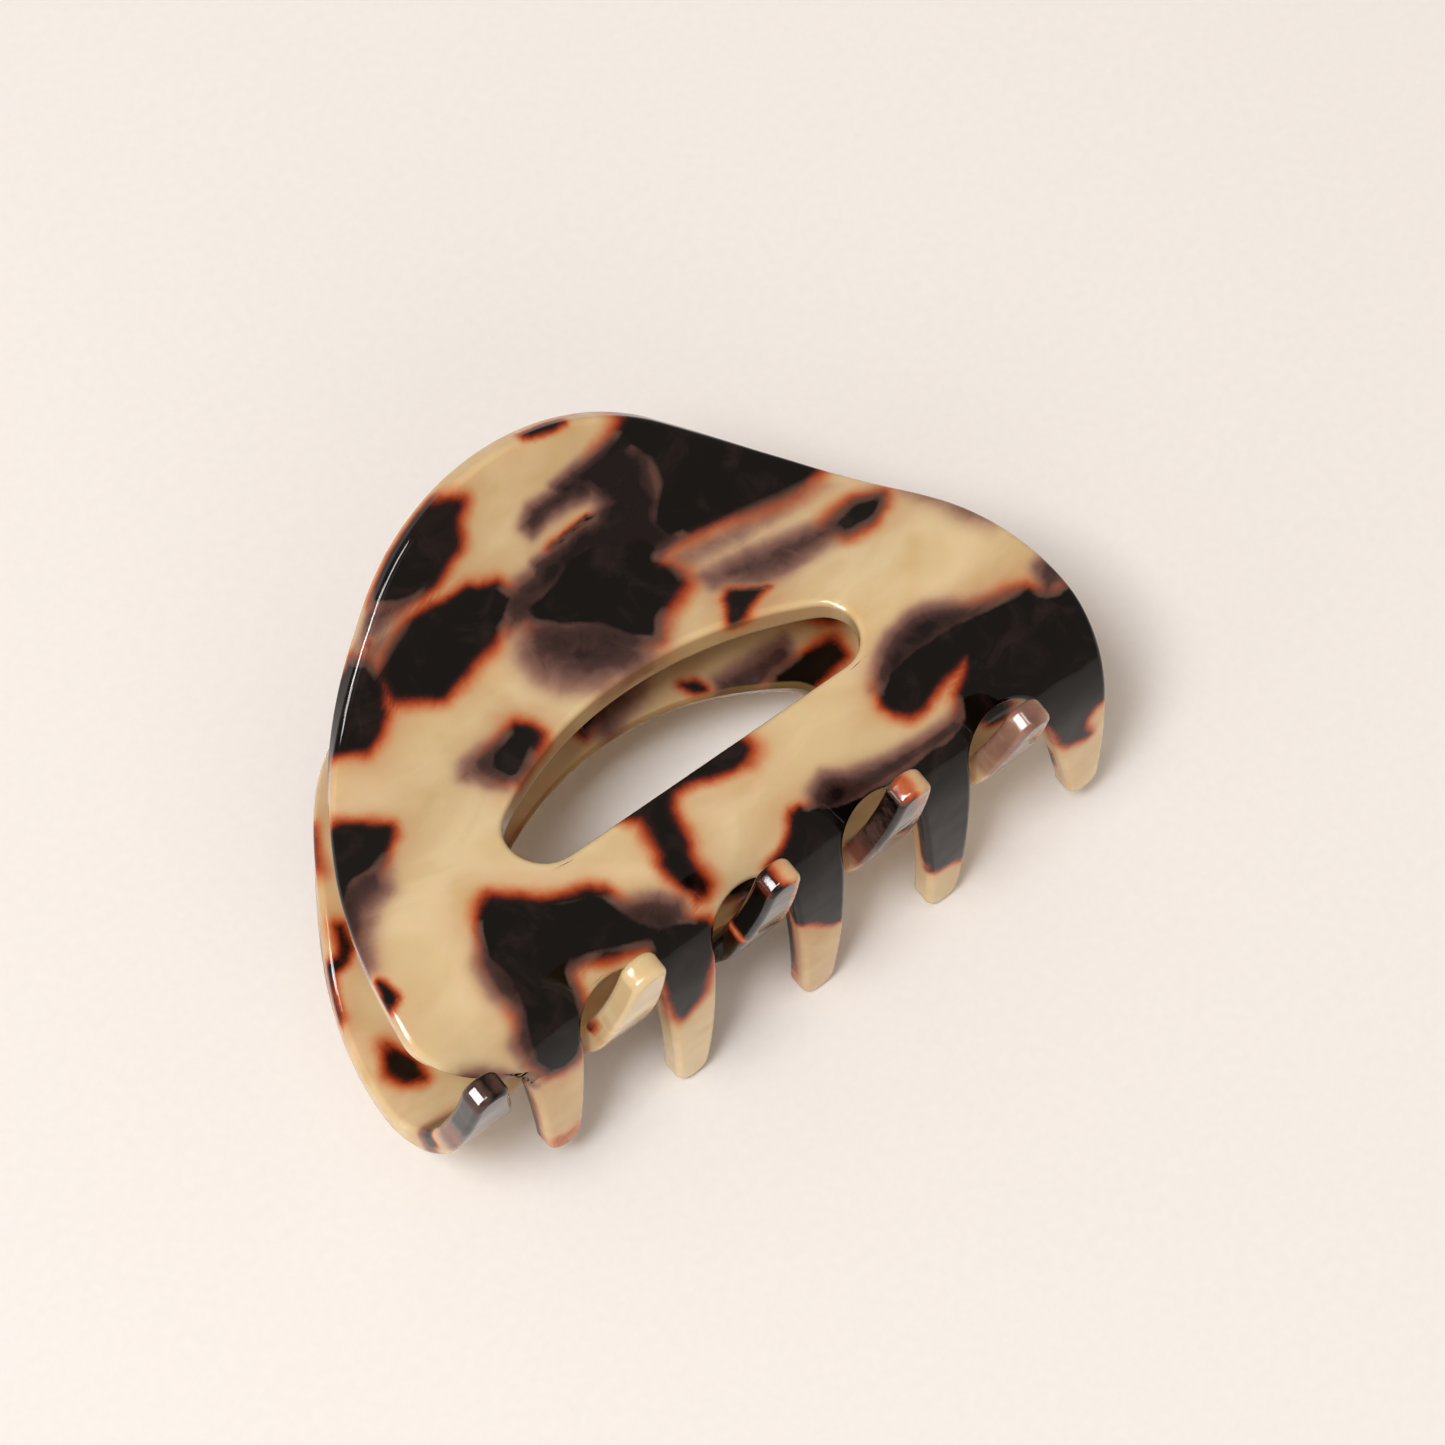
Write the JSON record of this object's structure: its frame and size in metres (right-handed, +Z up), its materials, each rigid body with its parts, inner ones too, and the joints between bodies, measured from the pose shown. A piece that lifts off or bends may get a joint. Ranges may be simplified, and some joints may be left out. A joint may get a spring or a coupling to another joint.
{
  "type": "claw hair clip",
  "caption": "Claw hair clip: two bent tortoiseshell plates with interlocking finger teeth and a D-shaped slot each, joined by a sprung hinge hidden between the handles.",
  "frame": {"origin": "centre of the box the lying clip fills, on the table it lies on", "axes": "+X along the hinge, +Y from the teeth towards the handles, +Z up; the clip lies on the back of its rear jaw"},
  "size_m": [0.0834, 0.0546, 0.0381],
  "materials": {
    "acetate": "polished, mottled tortoiseshell",
    "ear_acetate": "polished",
    "pin_steel": "satin",
    "spring_steel": "drawn wire"
  },
  "bodies": {
    "rear": {"rear_jaw": "acetate", "rear_ear_left": "ear_acetate", "rear_ear_right": "ear_acetate", "hinge_pin": "pin_steel", "torsion_spring": "spring_steel"},
    "front": {"front_jaw": "acetate", "front_ear_left": "ear_acetate", "front_ear_right": "ear_acetate"}
  },
  "joints": [
    {"name": "jaw_hinge", "type": "hinge", "parent": "rear", "child": "front", "pos_m": [0, 0.01156, 0.019], "axis": [-1, 0, 0], "range_deg": [0, 60], "stiffness_Nm_per_rad": 0.12, "springref_deg": -45.84, "deforming": ["torsion_spring"]}
  ]
}
